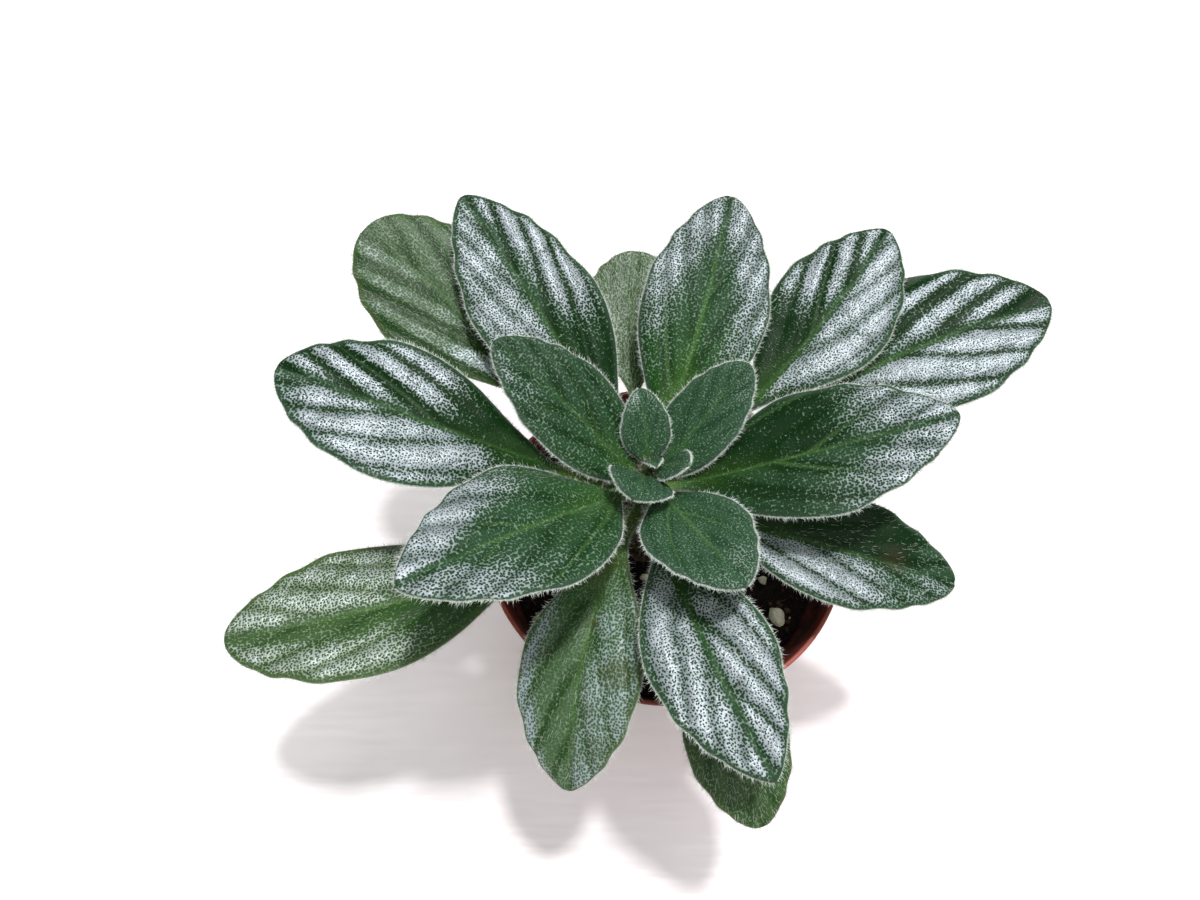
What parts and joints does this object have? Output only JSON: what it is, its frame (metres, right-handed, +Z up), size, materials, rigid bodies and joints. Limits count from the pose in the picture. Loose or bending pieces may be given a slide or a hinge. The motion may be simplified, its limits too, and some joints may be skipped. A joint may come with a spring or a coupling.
{
  "type": "potted primulina",
  "caption": "Low rosette of fleshy, quilted, silver-green hairy leaves on a short stem, growing in dark soil in a tapered red-brown plastic nursery pot.",
  "frame": {"origin": "centre of the pot's underside, on the surface that the pot stands on", "axes": "+Z up along the pot's axis; +X to the viewer's right, along the widest spread of the leaves; -Y towards the viewer"},
  "size_m": [0.1876, 0.1353, 0.1106],
  "materials": {
    "pot_plastic": "satin",
    "potting_soil": "matte",
    "stem_bark": "matte",
    "leaf_mature": "satin",
    "leaf_old": "satin",
    "leaf_young": "matte",
    "perlite": "matte"
  },
  "bodies": {
    "root": {"pot": "pot_plastic", "soil": "potting_soil", "stem": "stem_bark", "leaf_01": "leaf_old", "leaf_02": "leaf_old", "leaf_03": "leaf_old", "leaf_04": "leaf_old", "leaf_05": "leaf_mature", "leaf_06": "leaf_mature", "leaf_07": "leaf_old", "leaf_08": "leaf_mature", "leaf_09": "leaf_mature", "leaf_10": "leaf_mature", "leaf_11": "leaf_mature", "leaf_12": "leaf_mature", "leaf_13": "leaf_mature", "leaf_14": "leaf_mature", "leaf_15": "leaf_mature", "leaf_16": "leaf_young", "leaf_17": "leaf_young", "leaf_18": "leaf_young", "leaf_19": "leaf_young", "leaf_20": "leaf_young", "leaf_21": "leaf_young", "perlite_1": "perlite", "perlite_2": "perlite", "perlite_3": "perlite", "perlite_4": "perlite"}
  },
  "joints": []
}
